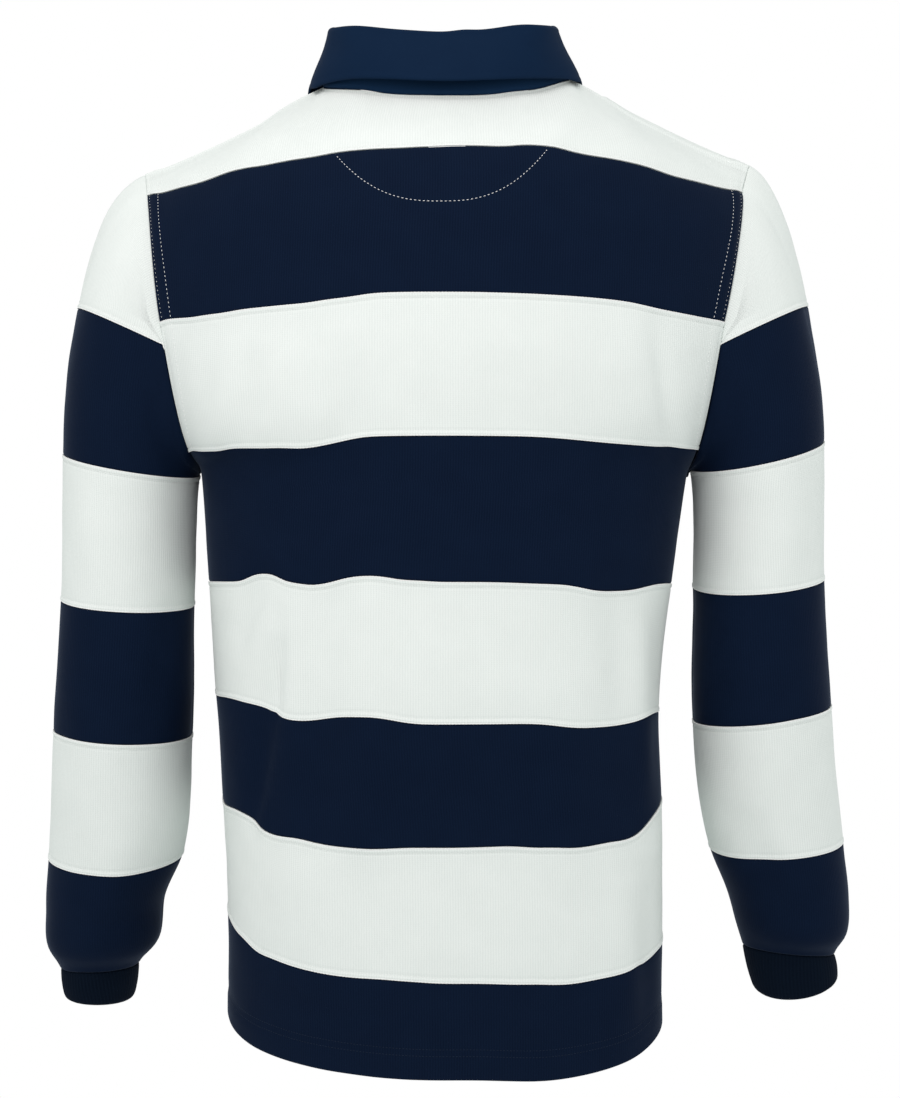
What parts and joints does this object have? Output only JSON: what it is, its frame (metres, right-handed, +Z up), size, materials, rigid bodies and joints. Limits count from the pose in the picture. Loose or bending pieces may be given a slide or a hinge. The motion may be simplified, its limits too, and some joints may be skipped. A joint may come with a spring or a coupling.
{
  "type": "rugby shirt",
  "caption": "Long-sleeved knit shirt in wide navy and white bands, with a fold-over collar, short buttoned placket and rib cuffs, in its hollow worn form.",
  "frame": {"origin": "middle of the neck opening, level with the shoulder neck points, where the wearer's neck and shoulders hold the shirt", "axes": "+Z up, -Y towards the wearer's front, +X towards the wearer's left"},
  "size_m": [0.6438, 0.2695, 0.7905],
  "materials": {
    "white_knit": "heavy cotton knit, fine vertical ribs",
    "navy_knit": "heavy cotton knit, fine vertical ribs",
    "navy_rib": "cuff rib",
    "navy_twill": "smooth cotton twill",
    "rubber": "soft matte rubber"
  },
  "bodies": {
    "root": {"back_1": "white_knit", "back_2": "navy_knit", "back_3": "white_knit", "back_4": "navy_knit", "back_5": "white_knit", "back_6": "navy_knit", "back_7": "white_knit", "back_8": "navy_knit", "button_1": "rubber", "button_2": "rubber", "button_3": "rubber", "collar_leaf": "navy_twill", "collar_stand": "navy_twill", "front_1": "white_knit", "front_2": "navy_knit", "front_3": "white_knit", "front_4": "navy_knit", "front_5": "white_knit", "front_6": "navy_knit", "front_7": "white_knit", "front_8": "navy_knit", "left_cuff": "navy_rib", "left_sleeve_1": "white_knit", "left_sleeve_2": "navy_knit", "left_sleeve_3": "white_knit", "left_sleeve_4": "navy_knit", "left_sleeve_5": "white_knit", "left_sleeve_6": "navy_knit", "placket": "navy_twill", "right_cuff": "navy_rib", "right_sleeve_1": "white_knit", "right_sleeve_2": "navy_knit", "right_sleeve_3": "white_knit", "right_sleeve_4": "navy_knit", "right_sleeve_5": "white_knit", "right_sleeve_6": "navy_knit"}
  },
  "joints": []
}
